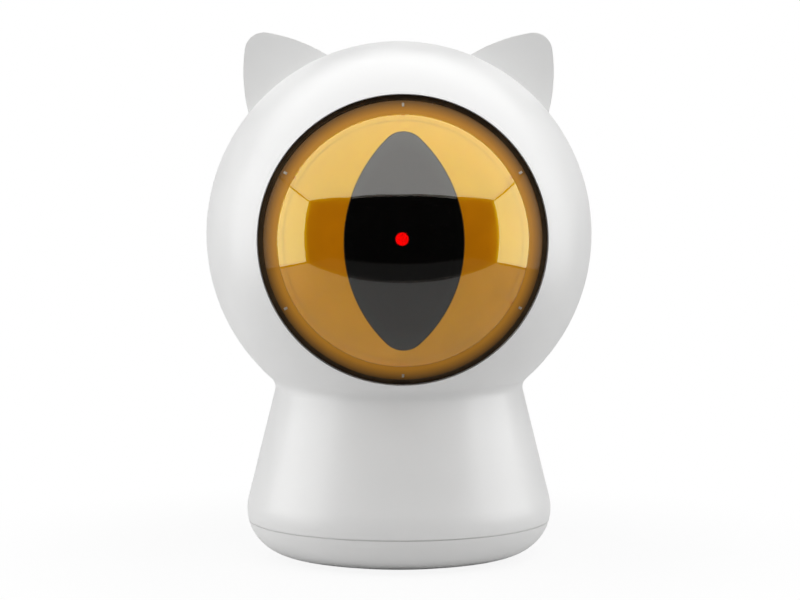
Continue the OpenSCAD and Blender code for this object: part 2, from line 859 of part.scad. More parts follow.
module tilt_pinion() {
    color(brass) tilt_axis(tilt_gear_x) translate(tilt_centre) difference() {
        rotate([0, 0, tilt_dir + 180 + 180 / pinion_n]) linear_extrude(gear_t) gear_2d(pinion_n);
        cylinder(d = shaft_d + 2 * run, h = far, center = true);
    }
}

// Lower half of the clamp, with the trunnions
module laser_cradle() {
    color(natural) difference() {
        union() {
            intersection() {
                back_axis(0, -cradle_l / 2, head_z) cylinder(r = cradle_r, h = cradle_l);
                translate([-far / 2, -far / 2, head_z - far]) cube([far, far, far]);
            }
            translate([-cradle_ear_x, -cradle_l / 2, head_z - cradle_ear_t])
                cube([2 * cradle_ear_x, cradle_l, cradle_ear_t]);
            for (s = [-1, 1]) tilt_axis(s * (arm_out + cradle_r) / 2)
                cylinder(d = trunnion_d, h = arm_out - cradle_r, center = true);
        }
        back_axis(0, 0, head_z) cylinder(d = barrel_d + 2 * run, h = far, center = true);
        cradle_screw_places() cylinder(d = cradle_screw_d + 2 * fit, h = far, center = true);
    }
}

module cradle_screw_places() {
    for (sx = [-1, 1], sy = [-1, 1])
        translate([sx * cradle_screw.x, sy * cradle_screw.y, head_z + cradle_ear_t]) children();
}

module cradle_cap() {
    color(natural) difference() {
        translate([0, 0, head_z]) {
            intersection() {
                back_axis(0, -cradle_l / 2, 0) cylinder(r = cradle_r, h = cradle_l);
                translate([-far / 2, -far / 2, 0]) cube([far, far, far]);
            }
            translate([-cradle_ear_x, -cradle_l / 2, 0]) cube([2 * cradle_ear_x, cradle_l, cradle_ear_t]);
        }
        back_axis(0, 0, head_z) cylinder(d = barrel_d + 2 * run, h = far, center = true);
        for (s = [-1, 1]) translate([s * (cradle_r + far / 2 - 0.5), 0, head_z])
            cube([far, trunnion_d + 4 * fit, far], center = true);
        cradle_screw_places() cylinder(d = cradle_screw_d + 2 * fit, h = far, center = true);
    }
}

module cradle_screws() {
    color(steel) cradle_screw_places() screw(2 * cradle_ear_t, cradle_screw_d, 2.4, 0.9);
}

module tilt_gear() {
    color(natural) tilt_axis(tilt_gear_x) difference() {
        rotate([0, 0, tilt_dir]) linear_extrude(gear_t) gear_2d(tilt_n);
        cylinder(d = trunnion_d + run, h = far, center = true);
    }
}

module laser_barrel() {
    color(brass) difference() {
        back_axis(0, -barrel_front, head_z) cylinder(d = barrel_d, h = barrel_front + barrel_back);
        back_axis(0, -barrel_front - eps, head_z) cylinder(d = barrel_d - 2, h = barrel_front / 2);
    }
}

module laser_nose() {
    color(black) back_axis(0, -barrel_front - 1, head_z) difference() {
        union() {
            cylinder(d = barrel_d, h = 1);
            translate([0, 0, 1 - eps]) cylinder(d = barrel_d - 2 - 2 * run, h = 3);
        }
        cylinder(d = lens_d + 2 * run, h = far, center = true);
    }
}

module laser_lens() {
    color("red") back_axis(0, -barrel_front - 1 + 2 * fit, head_z) cylinder(d = lens_d, h = 2);
}

module laser_driver() {
    color(green) back_axis(0, barrel_back, head_z) {
        cylinder(d = barrel_d - 1, h = 1);
        translate([-1.5, -1, 1 - eps]) cube([3, 2, 0.8]);
    }
}

module main_board() {
    color(green) difference() {
        translate([-board_w / 2, board_front, board_low]) cube([board_w, board_t, board_h]);
        for (s = [-1, 1]) back_axis(s * board_screw.x, 0, board_screw.y)
            cylinder(d = screw_d + 2 * fit, h = far);
    }
}

module board_screws() {
    color(steel) for (s = [-1, 1]) back_axis(s * board_screw.x, board_front, board_screw.y)
        rotate([180, 0, 0]) screw(board_t + board_grip);
}

// Radio module on the front of the board, under its can
module wifi_module() {
    edge = (wifi_size.x - wifi_can.x) / 2;
    translate([-wifi_size.x / 2, board_front - wifi_size.y, board_low + board_edge]) {
        color(green) cube(wifi_size);
        color(steel) translate([edge, -wifi_can.y, edge]) cube(wifi_can + [0, eps, 0]);
    }
}

module driver_chips() {
    color(black) for (s = [-1, 1])
        translate([s * (board_w / 2 - chip_in) - chip_size.x / 2,
                   board_front - chip_size.y, board_low + 2 * board_edge]) cube(chip_size);
}

module lead_sockets() {
    edge = 0.5;
    color(natural) for (x = socket_x)
        translate([x, board_front - socket_size.y, board_low + board_h - socket_drop]) difference() {
            cube(socket_size);
            translate([edge, -eps, edge]) cube(socket_size - [2 * edge, edge, 2 * edge]);
        }
}

module tact_switch() {
    color(black) difference() {
        translate([-switch_w / 2, board_back, button_z - switch_w / 2])
            cube([switch_w, switch_h, switch_w]);
        back_axis(0, board_back + switch_h / 3, button_z) cylinder(d = plunger_d + 4 * run, h = far);
    }
}

module switch_plunger() {
    low = board_back + switch_h / 3 + button_travel + fit;
    color(steel) back_axis(0, low, button_z) cylinder(d = plunger_d, h = plunger_top - low);
}

module power_button() {
    top = form_r(button_z, 0) + button_proud;
    color(natural) back_axis(0, 0, button_z) {
        translate([0, 0, plunger_top]) cylinder(r = button_flange_r, h = button_flange_y - plunger_top);
        translate([0, 0, plunger_top + eps]) cylinder(d = button_d, h = top - 0.5 - plunger_top - eps);
        translate([0, 0, top - 0.5 - eps]) cylinder(d1 = button_d, d2 = button_d - 1, h = 0.5);
    }
}

module usb_socket() {
    metal = 0.3;
    color(steel) back_axis(0, board_back, usb_z) difference() {
        linear_extrude(usb_l) stadium_2d(usb_w, usb_h);
        translate([0, 0, 2]) linear_extrude(far) stadium_2d(usb_w - 2 * metal, usb_h - 2 * metal);
    }
}

module usb_tongue() {
    color(black) translate([-usb_w / 2 + 1.2, board_back + 2, usb_z - 0.35])
        cube([usb_w - 2.4, usb_l - 3, 0.7]);
}

// Plate over the open bottom with a well for three cells in a row
module battery_tray() {
    color(white) difference() {
        union() {
            translate([0, 0, plate_z]) cylinder(r = plate_r, h = plate_t);
            translate([0, 0, plate_z]) linear_extrude(well_top + tray_wall - plate_z)
                rounded_box_2d(well_l + 2 * tray_wall, well_w + 2 * tray_wall, well_corner);
        }
        translate([0, 0, plate_z - eps]) linear_extrude(well_top - plate_z + eps)
            rounded_box_2d(well_l, well_w, well_corner - tray_wall);
        for (side = [-1, 1], a = tray_angles) half_turn(side) rotate([0, 0, a])
            translate([tray_boss_r, 0, 0]) {
                cylinder(d = screw_d + 2 * fit, h = far);
                cylinder(d = screw_head_d + 4 * fit, h = plate_z + screw_head_h);
            }
        translate([-board_w / 2 - 1, board_front - 2.8, 0]) cube([board_w + 2, far, well_top + far]);
    }
}

module tray_screws() {
    color(steel) for (side = [-1, 1], a = tray_angles) half_turn(side) rotate([0, 0, a])
        translate([tray_boss_r, 0, plate_z + screw_head_h]) rotate([180, 0, 0])
            screw(plate_t - screw_head_h + tray_boss_h - 2);
}

// Cells lie along X with their ends turned about in the row
module cell_places() {
    for (i = [-1:1]) translate([0, i * (cell_d + cell_gap), cell_z])
        rotate([0, 0, i == 0 ? 180 : 0]) children();
}

module battery_cells() {
    nub = 1;
    nub_d = 3.8;
    color(steel) cell_places() translate([-well_l / 2 + contact_t + spring_l, 0, 0]) rotate([0, 90, 0]) {
        cylinder(d = cell_d, h = cell_l - nub);
        cylinder(d = nub_d, h = cell_l);
    }
}

module contact_plates() {
    side = cell_d * 2 / 3;
    color(steel) cell_places() for (s = [-1, 1])
        translate([s * (well_l / 2 - contact_t / 2), 0, 0]) cube([contact_t, side, side], center = true);
}

// Each sprung contact is a strip curled into a loop
module contact_springs() {
    color(steel) cell_places()
        translate([-well_l / 2 + contact_t + spring_l / 2, 0, 0]) rotate([90, 0, 0])
            linear_extrude(cell_d / 2, center = true) difference() {
                circle(d = spring_l - fit);
                circle(d = spring_l - fit - 2 * contact_t);
            }
}

front_shell();
rear_shell();
shell_screws();
base_cover();
foot_ring();
eye_dome();
eye_gasket();
iris_cup();
iris_carrier();
pupil_window();
drive_deck();
deck_screws();
pan_bush();
pan_motor();
pan_motor_screws();
pan_motor_shaft();
pan_pinion();
pan_yoke();
pan_gear();
pan_washer();
pan_screw();
tilt_bushes();
tilt_motor();
tilt_motor_screws();
tilt_motor_shaft();
tilt_pinion();
laser_cradle();
cradle_cap();
cradle_screws();
tilt_gear();
laser_barrel();
laser_nose();
laser_lens();
laser_driver();
main_board();
board_screws();
wifi_module();
driver_chips();
lead_sockets();
tact_switch();
switch_plunger();
power_button();
usb_socket();
usb_tongue();
battery_tray();
tray_screws();
battery_cells();
contact_plates();
contact_springs();
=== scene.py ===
"""Dresses the cat laser pointer: finishes, fine trim in the eye, and a plain light tent."""

import json
import logging
import math
from abc import ABC, abstractmethod
from dataclasses import dataclass, field
from enum import Enum
from typing import Any, Callable, Dict, List, Sequence, Tuple

import bmesh
import bpy
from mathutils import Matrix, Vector

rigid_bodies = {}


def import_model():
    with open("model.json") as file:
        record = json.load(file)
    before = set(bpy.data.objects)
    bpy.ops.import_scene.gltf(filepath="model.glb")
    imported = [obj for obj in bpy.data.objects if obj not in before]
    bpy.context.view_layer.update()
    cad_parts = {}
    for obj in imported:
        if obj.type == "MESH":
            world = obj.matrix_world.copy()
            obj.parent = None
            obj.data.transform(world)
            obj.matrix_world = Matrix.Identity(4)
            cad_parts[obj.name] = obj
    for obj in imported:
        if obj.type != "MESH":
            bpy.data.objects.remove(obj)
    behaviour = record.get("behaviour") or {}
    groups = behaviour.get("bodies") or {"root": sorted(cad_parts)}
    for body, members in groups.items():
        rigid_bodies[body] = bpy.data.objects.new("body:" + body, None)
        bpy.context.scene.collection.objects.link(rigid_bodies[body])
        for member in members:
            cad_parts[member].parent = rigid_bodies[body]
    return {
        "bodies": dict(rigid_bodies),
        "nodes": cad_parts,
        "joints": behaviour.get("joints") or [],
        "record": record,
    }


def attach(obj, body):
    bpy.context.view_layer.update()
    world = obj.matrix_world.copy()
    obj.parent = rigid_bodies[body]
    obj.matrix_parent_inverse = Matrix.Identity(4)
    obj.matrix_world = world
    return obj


LOG = logging.getLogger("cat_pointer")

Color = Tuple[float, float, float]
Point = Tuple[float, float, float]
Span = Tuple[float, float]
Frame = Dict[str, Any]
Socket = bpy.types.NodeSocket
Mesh = bmesh.types.BMesh

WHITE: Color = (1.0, 1.0, 1.0)
FULL: Span = (0.0, 1.0)
EYE_BALL: Point = (0.0, -0.0031, 0.077)


class Axis(Enum):
    """The direction that a lay of fine lines runs in."""

    ALONG_X = (0.04, 1.0, 1.0)
    ALONG_Y = (1.0, 0.04, 1.0)
    ALONG_Z = (1.0, 1.0, 0.04)
    EVEN = (1.0, 1.0, 1.0)


class Easing(Enum):
    """How a change from one level to another sets off and arrives."""

    SOFT = "SMOOTHSTEP"
    EVEN = "LINEAR"


@dataclass(frozen=True)
class Cloud:
    """A cloudy pattern: the width of one cloud in metres, its finer layers and its lay."""

    size: float
    detail: float = 2.0
    lay: Axis = Axis.EVEN
    roughness: float = 0.55


class Bench:
    """Lays out the shader nodes of one material or world."""

    pattern_middle: Span = (0.3, 0.7)
    bevel_samples: int = 4

    def __init__(self, tree: bpy.types.NodeTree) -> None:
        """Takes the tree and clears it."""
        self.tree = tree
        self.tree.nodes.clear()

    def add(
        self, kind: str, inputs: Dict[Any, Any] | None = None, **settings: Any
    ) -> bpy.types.Node:
        """Adds one node.

        Args:
            kind: The node's type without its ShaderNode prefix.
            inputs: Values or sockets for its inputs, by name or number.
            **settings: Properties of the node itself.

        Returns:
            The new node.
        """
        node = self.tree.nodes.new("ShaderNode" + kind)
        for key, value in settings.items():
            setattr(node, key, value)
        for key, value in (inputs or {}).items():
            self.feed(node.inputs[key], value)
        return node

    def feed(self, socket: Socket, value: Any) -> None:
        """Sets one input, or links it.

        Args:
            socket: The input to feed.
            value: A number, a colour, a vector or another node's output.
        """
        if isinstance(value, Socket):
            self.tree.links.new(value, socket)
        elif isinstance(value, (tuple, list)) and len(value) == 3 and socket.type == "RGBA":
            socket.default_value = (*value, 1.0)
        else:
            socket.default_value = value

    def place(self) -> Socket:
        """Gives the coordinates that ride with the piece."""
        return self.add("TexCoord").outputs["Object"]

    def sums(self, operation: str, first: Any, second: Any) -> Socket:
        """Works out one sum of two numbers."""
        return self.add("Math", {0: first, 1: second}, operation=operation).outputs["Value"]

    def vectors(self, operation: str, *values: Any) -> bpy.types.Node:
        """Works out one sum of vectors."""
        return self.add("VectorMath", dict(enumerate(values)), operation=operation)

    def off_axis(self, height: float) -> Socket:
        """Gives the distance from a level axis along Y.

        Args:
            height: How high the axis lies, in metres.

        Returns:
            The distance, in metres.
        """
        moved = self.vectors("SUBTRACT", self.place(), (0.0, 0.0, height)).outputs["Vector"]
        flat = self.vectors("MULTIPLY", moved, (1.0, 0.0, 1.0)).outputs["Vector"]
        return self.vectors("LENGTH", flat).outputs["Value"]

    def from_point(self, point: Point) -> Socket:
        """Gives the distance from a point, in metres."""
        return self.vectors("DISTANCE", self.place(), point).outputs["Value"]

    def ball_normal(self, middle: Point, flat: float = 1.0) -> Socket:
        """Gives the normal of a ball that is flattened along Y.

        Args:
            middle: The ball's middle.
            flat: How much its normals lean sideways, as a share of a true ball's.

        Returns:
            The normal.
        """
        out = self.vectors("SUBTRACT", self.place(), middle).outputs["Vector"]
        lean = self.vectors("MULTIPLY", out, (flat, 1.0, flat)).outputs["Vector"]
        return self.vectors("NORMALIZE", lean).outputs["Vector"]

    def ramp(
        self, value: Socket, span: Span, levels: Span = FULL, easing: Easing = Easing.SOFT
    ) -> Socket:
        """Goes from one level to another.

        Args:
            value: What the level follows.
            span: Where it leaves the first level, and where it reaches the second.
            levels: The two levels.
            easing: How it sets off and arrives.

        Returns:
            The level.
        """
        sockets = {
            "Value": value,
            "From Min": span[0],
            "From Max": span[1],
            "To Min": levels[0],
            "To Max": levels[1],
        }
        return self.add("MapRange", sockets, interpolation_type=easing.value).outputs["Result"]

    def noise(self, cloud: Cloud) -> Socket:
        """Adds a cloudy pattern.

        Args:
            cloud: What the pattern is like.

        Returns:
            The pattern, from 0 to 1.
        """
        where = self.place()
        if cloud.lay is not Axis.EVEN:
            drawn_out = {"Vector": where, "Scale": cloud.lay.value}
            where = self.add("Mapping", drawn_out).outputs["Vector"]
        sockets = {
            "Vector": where,
            "Scale": 1.0 / cloud.size,
            "Detail": cloud.detail,
            "Roughness": cloud.roughness,
        }
        return self.add("TexNoise", sockets).outputs["Fac"]

    def spread(self, pattern: Socket, levels: Span = FULL) -> Socket:
        """Stretches the middle of a pattern over a range."""
        return self.ramp(pattern, self.pattern_middle, levels)

    def tint(self, pattern: Socket, dark: Any, light: Any) -> Socket:
        """Colours a pattern.

        Args:
            pattern: The pattern, from 0 to 1.
            dark: The colour at 0.
            light: The colour at 1.

        Returns:
            The mixed colour.
        """
        inputs = {"Factor": pattern, 6: dark, 7: light}
        return self.add("Mix", inputs, data_type="RGBA").outputs[2]

    def relief(
        self, height: Socket, depth: float, edge: float = 0.0, strength: float = 1.0
    ) -> Socket:
        """Turns a pattern into a bumped normal, with softened edges.

        Args:
            height: The pattern.
            depth: How deep it is, in metres.
            edge: The radius that sharp edges are softened to, in metres.
            strength: The share of the relief that shows.

        Returns:
            The normal.
        """
        bump = self.add("Bump", {"Height": height, "Distance": depth, "Strength": strength})
        if edge > 0.0:
            rounded = self.add("Bevel", {"Radius": edge}, samples=self.bevel_samples)
            self.feed(bump.inputs["Normal"], rounded.outputs["Normal"])
        return bump.outputs["Normal"]

    def mix(self, share: Any, first: Socket, second: Socket) -> Socket:
        """Mixes two shaders."""
        return self.add("MixShader", {0: share, 1: first, 2: second}).outputs["Shader"]

    def surface(self, sockets: Dict[str, Any]) -> Socket:
        """Gives one opaque surface."""
        return self.add("BsdfPrincipled", sockets).outputs["BSDF"]

    def finish(self, shader: Socket, kind: str = "OutputMaterial") -> None:
        """Joins the shader to the output."""
        self.feed(self.add(kind).inputs["Surface"], shader)


def scaled(color: Color, share: float) -> Color:
    """Makes a colour darker or lighter, but no lighter than white."""
    red, green, blue = (min(1.0, part * share) for part in color)
    return (red, green, blue)


@dataclass(frozen=True)
class Finish(ABC):
    """One surface finish."""

    name: str

    def make(self) -> bpy.types.Material:
        """Makes the material.

        Returns:
            The material with its nodes.
        """
        material = bpy.data.materials.new(self.name)
        material.use_nodes = True
        self.lay_out(Bench(material.node_tree))
        return material

    @abstractmethod
    def lay_out(self, bench: Bench) -> None:
        """Lays out the finish's nodes.

        Args:
            bench: The bench to lay them out on.
        """


@dataclass(frozen=True)
class MouldedPlastic(Finish):
    """An opaque moulded plastic with a fine spark-eroded grain."""

    color: Color = (0.8, 0.8, 0.8)
    shade_swing: float = 0.02
    flow: Cloud = Cloud(0.03, 3.0)
    roughness: float = 0.35
    gloss_swing: float = 0.04
    gloss: Cloud = Cloud(0.008, 4.0)
    grain: Cloud = Cloud(0.00035)
    depth: float = 0.000004
    edge: float = 0.00025
    index: float = 1.49
    sheen: float = 0.5

    def lay_out(self, bench: Bench) -> None:
        """Lays out flow marks in the colour, a patchy gloss and the grain.

        Args:
            bench: The bench to lay them out on.
        """
        dark = scaled(self.color, 1 - self.shade_swing)
        gloss = (self.roughness - self.gloss_swing, self.roughness + self.gloss_swing)
        sockets = {
            "Base Color": bench.tint(bench.noise(self.flow), dark, self.color),
            "Roughness": bench.spread(bench.noise(self.gloss), gloss),
            "Normal": bench.relief(bench.noise(self.grain), self.depth, self.edge),
            "IOR": self.index,
            "Specular IOR Level": self.sheen,
        }
        bench.finish(bench.surface(sockets))


@dataclass(frozen=True)
class SoftRubber(Finish):
    """A dull elastomer with a powdery bloom."""

    color: Color = (0.055, 0.034, 0.015)
    bloom: Color = (0.082, 0.052, 0.024)
    dust: Cloud = Cloud(0.004, 4.0)
    roughness: Span = (0.52, 0.68)
    gloss: Cloud = Cloud(0.0015, 3.0)
    leather: Cloud = Cloud(0.0005, 3.0)
    depth: float = 0.00002
    edge: float = 0.0002
    sheen: float = 0.2

    def lay_out(self, bench: Bench) -> None:
        """Lays out the bloom and a fine leathery relief.

        Args:
            bench: The bench to lay them out on.
        """
        dust = bench.spread(bench.noise(self.dust))
        sockets = {
            "Base Color": bench.tint(dust, self.color, self.bloom),
            "Roughness": bench.spread(bench.noise(self.gloss), self.roughness),
            "Normal": bench.relief(bench.noise(self.leather), self.depth, self.edge),
            "Specular IOR Level": self.sheen,
        }
        bench.finish(bench.surface(sockets))


@dataclass(frozen=True)
class ClearAmber(Finish):
    """A clear domed lens: gloss all over, deep amber where its edge is looked through, and
    painted shade near black at the rim.
    """

    tint: Color = (0.99, 0.975, 0.94)
    tint_swing: float = 0.015
    haze: Cloud = Cloud(0.03)
    deep: Color = (0.49, 0.21, 0.02)
    deep_span: Span = (0.0284, 0.0287)
    # the near black at the rim is painted shade of the recessed edge, laid over the deeper amber
    # of the thicker wall
    rim: Color = (0.055, 0.029, 0.01)
    rim_shade_span: Span = (0.0293, 0.0321)
    outer_from: float = 0.0421
    cover: float = 0.97
    index: float = 1.51
    sheen: float = 0.05
    roughness: Span = (0.012, 0.03)
    gloss: Cloud = Cloud(0.02, 3.0)
    ripple: Cloud = Cloud(0.012, 1.0)
    ripple_depth: float = 0.00002
    ripple_share: float = 0.25

    def lay_out(self, bench: Bench) -> None:
        """Lays out the clear middle with its mirror, and the amber edge with its painted shade.

        Args:
            bench: The bench to lay them out on.
        """
        waves = bench.noise(self.ripple)
        ripple = bench.relief(waves, self.ripple_depth, strength=self.ripple_share)
        radius = bench.off_axis(EYE_BALL[2])
        edge = bench.ramp(radius, self.deep_span, (0.0, self.cover))
        # painted shade: the amber darkens to near black towards the rim, for the shadow in the
        # recess
        darker = bench.ramp(radius, self.rim_shade_span, easing=Easing.EVEN)
        mirror = bench.add("Fresnel", {"IOR": self.index, "Normal": ripple}).outputs["Fac"]
        share = bench.sums("MAXIMUM", mirror, edge)
        clear_of_edge = bench.sums("SUBTRACT", 1.0, edge)
        bright = bench.sums("DIVIDE", bench.sums("MULTIPLY", mirror, clear_of_edge), share)
        facing = bench.sums("SUBTRACT", 1.0, bench.add("NewGeometry").outputs["Backfacing"])
        outer = bench.sums("GREATER_THAN", bench.from_point(EYE_BALL), self.outer_from)
        outside = bench.sums("MULTIPLY", facing, outer)
        sockets = {
            "Base Color": bench.tint(bright, bench.tint(darker, self.deep, self.rim), WHITE),
            "Metallic": bright,
            "Roughness": bench.spread(bench.noise(self.gloss), self.roughness),
            "Specular IOR Level": self.sheen,
            "Normal": ripple,
        }
        surface = bench.surface(sockets)
        haze = bench.spread(bench.noise(self.haze))
        passed = bench.tint(haze, scaled(self.tint, 1 - self.tint_swing), self.tint)
        clear = bench.add("BsdfTransparent", {"Color": passed}).outputs["BSDF"]
        bench.finish(bench.mix(bench.sums("MULTIPLY", share, outside), clear, surface))


@dataclass(frozen=True)
class GoldAmber(Finish):
    """Amber with a gold lustre under its gloss."""

    color: Color = (0.63, 0.218, 0.002)
    swing: float = 0.06
    cloud: Cloud = Cloud(0.012, 3.0)
    lustre: Color = (0.95, 1.0, 0.0)
    index: float = 1.89
    roughness: float = 0.11
    gloss_swing: float = 0.2
    gloss: Cloud = Cloud(0.004, 3.0)
    domed: bool = True
    ball_flat: float = 0.95
    grain: Cloud = Cloud(0.0008)
    depth: float = 0.000008

    def lay_out(self, bench: Bench) -> None:
        """Lays out the cloudy amber and its lustre, whose shine may follow the dome's ball.

        Args:
            bench: The bench to lay them out on.
        """
        cloud = bench.spread(bench.noise(self.cloud))
        dark, light = (scaled(self.color, 1 + side * self.swing) for side in (-1, 1))
        low, high = (self.roughness * (1 + side * self.gloss_swing) for side in (-1, 1))
        if self.domed:
            normal = bench.ball_normal(EYE_BALL, self.ball_flat)
        else:
            normal = bench.relief(bench.noise(self.grain), self.depth)
        sockets = {
            "Base Color": bench.tint(cloud, dark, light),
            "Roughness": bench.spread(bench.noise(self.gloss), (low, high)),
            "IOR": self.index,
            "Specular Tint": self.lustre,
            "Normal": normal,
        }
        bench.finish(bench.surface(sockets))


@dataclass(frozen=True)
class SmokedWindow(Finish):
    """A near-black window that only lets deep red through."""

    dark: Color = (0.001, 0.001, 0.001)
    light: Color = (0.003, 0.003, 0.0032)
    cloud: Cloud = Cloud(0.006, 3.0)
    passes: Color = (1.0, 0.03, 0.03)
    cover: float = 0.86
    index: float = 1.33
    roughness: Span = (0.02, 0.035)
    gloss: Cloud = Cloud(0.01, 3.0)

    def lay_out(self, bench: Bench) -> None:
        """Lays out the black gloss over the red filter.

        Args:
            bench: The bench to lay them out on.
        """
        sockets = {
            "Base Color": bench.tint(bench.noise(self.cloud), self.dark, self.light),
            "Roughness": bench.spread(bench.noise(self.gloss), self.roughness),
            "IOR": self.index,
            "Normal": bench.ball_normal(EYE_BALL),
        }
        red = bench.add("BsdfTransparent", {"Color": self.passes}).outputs["BSDF"]
        bench.finish(bench.mix(self.cover, red, bench.surface(sockets)))


@dataclass(frozen=True)
class GlowingLens(Finish):
    """A small glass lens with the beam behind it."""

    color: Color = (0.6, 0.01, 0.012)
    shade_swing: float = 0.2
    cloud: Cloud = Cloud(0.0008)
    glow: Color = (1.0, 0.006, 0.01)
    strength: float = 50.0
    roughness: Span = (0.05, 0.1)
    gloss: Cloud = Cloud(0.001)

    def lay_out(self, bench: Bench) -> None:
        """Lays out the red glass and its glow.

        Args:
            bench: The bench to lay them out on.
        """
        dark = scaled(self.color, 1 - self.shade_swing)
        sockets = {
            "Base Color": bench.tint(bench.noise(self.cloud), dark, self.color),
            "Roughness": bench.spread(bench.noise(self.gloss), self.roughness),
            "Emission Color": self.glow,
            "Emission Strength": self.strength,
        }
        bench.finish(bench.surface(sockets))


@dataclass(frozen=True)
class WorkedMetal(Finish):
    """A metal with the fine lines of how it was worked."""

    color: Color = (0.62, 0.61, 0.59)
    stain_swing: float = 0.12
    stain: Cloud = Cloud(0.003, 4.0)
    roughness: float = 0.28
    smoother: float = 0.08
    rougher: float = 0.1
    lay: Axis = Axis.ALONG_X
    line: float = 0.00025
    detail: float = 3.0
    depth: float = 0.000004
    edge: float = 0.0001

    def lay_out(self, bench: Bench) -> None:
        """Lays out the lines and a slight staining.

        Args:
            bench: The bench to lay them out on.
        """
        lines = bench.noise(Cloud(self.line, self.detail, self.lay))
        stain = bench.spread(bench.noise(self.stain))
        gloss = (self.roughness - self.smoother, self.roughness + self.rougher)
        sockets = {
            "Base Color": bench.tint(stain, scaled(self.color, 1 - self.stain_swing), self.color),
            "Metallic": 1.0,
            "Roughness": bench.spread(lines, gloss),
            "Normal": bench.relief(lines, self.depth, self.edge),
        }
        bench.finish(bench.surface(sockets))


@dataclass(frozen=True)
class CircuitBoard(Finish):
    """Solder mask over a net of fine tracks."""

    mask: Color = (0.012, 0.075, 0.03)
    track: Color = (0.035, 0.16, 0.06)
    track_span: Span = (0.06, 0.1)
    pitch: float = 0.0016
    jumble: float = 0.6
    roughness: Span = (0.26, 0.4)
    gloss: Cloud = Cloud(0.002, 3.0)
    depth: float = 0.00004
    edge: float = 0.0001

    def lay_out(self, bench: Bench) -> None:
        """Lays out the tracks under the mask.

        Args:
            bench: The bench to lay them out on.
        """
        net = {"Vector": bench.place(), "Scale": 1.0 / self.pitch, "Randomness": self.jumble}
        cells = bench.add("TexVoronoi", net, feature="DISTANCE_TO_EDGE", distance="EUCLIDEAN")
        far = cells.outputs["Distance"]
        tracks = bench.ramp(far, self.track_span, (1.0, 0.0), Easing.EVEN)
        sockets = {
            "Base Color": bench.tint(tracks, self.mask, self.track),
            "Roughness": bench.spread(bench.noise(self.gloss), self.roughness),
            "Normal": bench.relief(tracks, self.depth, self.edge),
        }
        bench.finish(bench.surface(sockets))


@dataclass(frozen=True)
class CellJacket(Finish):
    """A shrunk film sleeve with a pale end band."""

    color: Color = (0.03, 0.16, 0.19)
    band: Color = (0.55, 0.56, 0.55)
    band_span: Span = (0.016, 0.0161)
    roughness: Span = (0.2, 0.34)
    lines: Cloud = Cloud(0.001, 3.0, Axis.ALONG_X)
    depth: float = 0.00001
    edge: float = 0.0002

    def lay_out(self, bench: Bench) -> None:
        """Lays out the film, its band and its shrink lines.

        Args:
            bench: The bench to lay them out on.
        """
        along = bench.add("SeparateXYZ", {0: bench.place()}).outputs["X"]
        banded = bench.ramp(along, self.band_span, easing=Easing.EVEN)
        lines = bench.noise(self.lines)
        sockets = {
            "Base Color": bench.tint(banded, self.color, self.band),
            "Roughness": bench.spread(lines, self.roughness),
            "Normal": bench.relief(lines, self.depth, self.edge),
        }
        bench.finish(bench.surface(sockets))


class Finishes(Enum):
    """The finishes of this object."""

    SHELL = MouldedPlastic(
        "satin_white_shell", color=(0.82, 0.82, 0.815), roughness=0.34, sheen=0.42
    )
    TRAY = MouldedPlastic(
        "dull_white_tray", color=(0.74, 0.74, 0.72), roughness=0.48, depth=0.000008
    )
    NATURAL = MouldedPlastic(
        "natural_acetal", color=(0.7, 0.69, 0.64), roughness=0.42, shade_swing=0.05
    )
    BLACK = MouldedPlastic(
        "black_filled_plastic", color=(0.022, 0.022, 0.023), roughness=0.45, depth=0.000008
    )
    GREY = MouldedPlastic(
        "grey_button_plastic", color=(0.42, 0.43, 0.44), roughness=0.4, depth=0.000006
    )
    # the clip tips' paler colour is a painted glint, for the light that the clear clips catch
    # through the dome
    CLIP = MouldedPlastic(
        "clip_tips_painted_glint", color=(0.26, 0.22, 0.16), roughness=0.4, depth=0.000006
    )
    RUBBER = SoftRubber("black_rubber_bloom")
    FOOT = SoftRubber("grey_foot_rubber", color=(0.05, 0.05, 0.05), bloom=(0.09, 0.088, 0.085))
    DOME = ClearAmber("clear_amber_dome")
    IRIS = GoldAmber("gold_amber_iris")
    RING = GoldAmber(
        "deep_amber_ring",
        color=(0.34, 0.15, 0.012),
        swing=0.28,
        cloud=Cloud(0.006, 3.0),
        index=1.7,
        roughness=0.22,
        domed=False,
    )
    EDGE = GoldAmber(
        "brown_slit_edge",
        color=(0.06, 0.028, 0.006),
        cloud=Cloud(0.004, 3.0),
        index=1.2,
        roughness=0.25,
        domed=False,
    )
    WINDOW = SmokedWindow("smoked_red_window")
    BORDER = SmokedWindow("black_slit_border", cover=1.0)
    LENS = GlowingLens("glowing_red_lens")
    STEEL = WorkedMetal("drawn_steel")
    PLATED = WorkedMetal(
        "bright_plated_steel", color=(0.72, 0.7, 0.66), roughness=0.2, lay=Axis.ALONG_Z
    )
    TURNED = WorkedMetal(
        "turned_brass", color=(0.74, 0.56, 0.27), roughness=0.24, lay=Axis.ALONG_Y
    )
    CAN = WorkedMetal(
        "pressed_steel_can", color=(0.66, 0.67, 0.68), roughness=0.3, lay=Axis.EVEN
    )
    BOARD = CircuitBoard("green_circuit_board")
    CELL = CellJacket("cell_film_jacket")

    def material(self) -> bpy.types.Material:
        """Gives the finish's one material, made on first use."""
        return bpy.data.materials.get(self.value.name) or self.value.make()


def spaced(start: float, end: float, count: int) -> List[float]:
    """Gives evenly spaced numbers with both ends among them, that many steps apart."""
    return [start + (end - start) * i / count for i in range(count + 1)]


def circle(count: int) -> List[float]:
    """Gives that many evenly spaced angles, once all the way round."""
    return [2 * math.pi * k / count for k in range(count)]


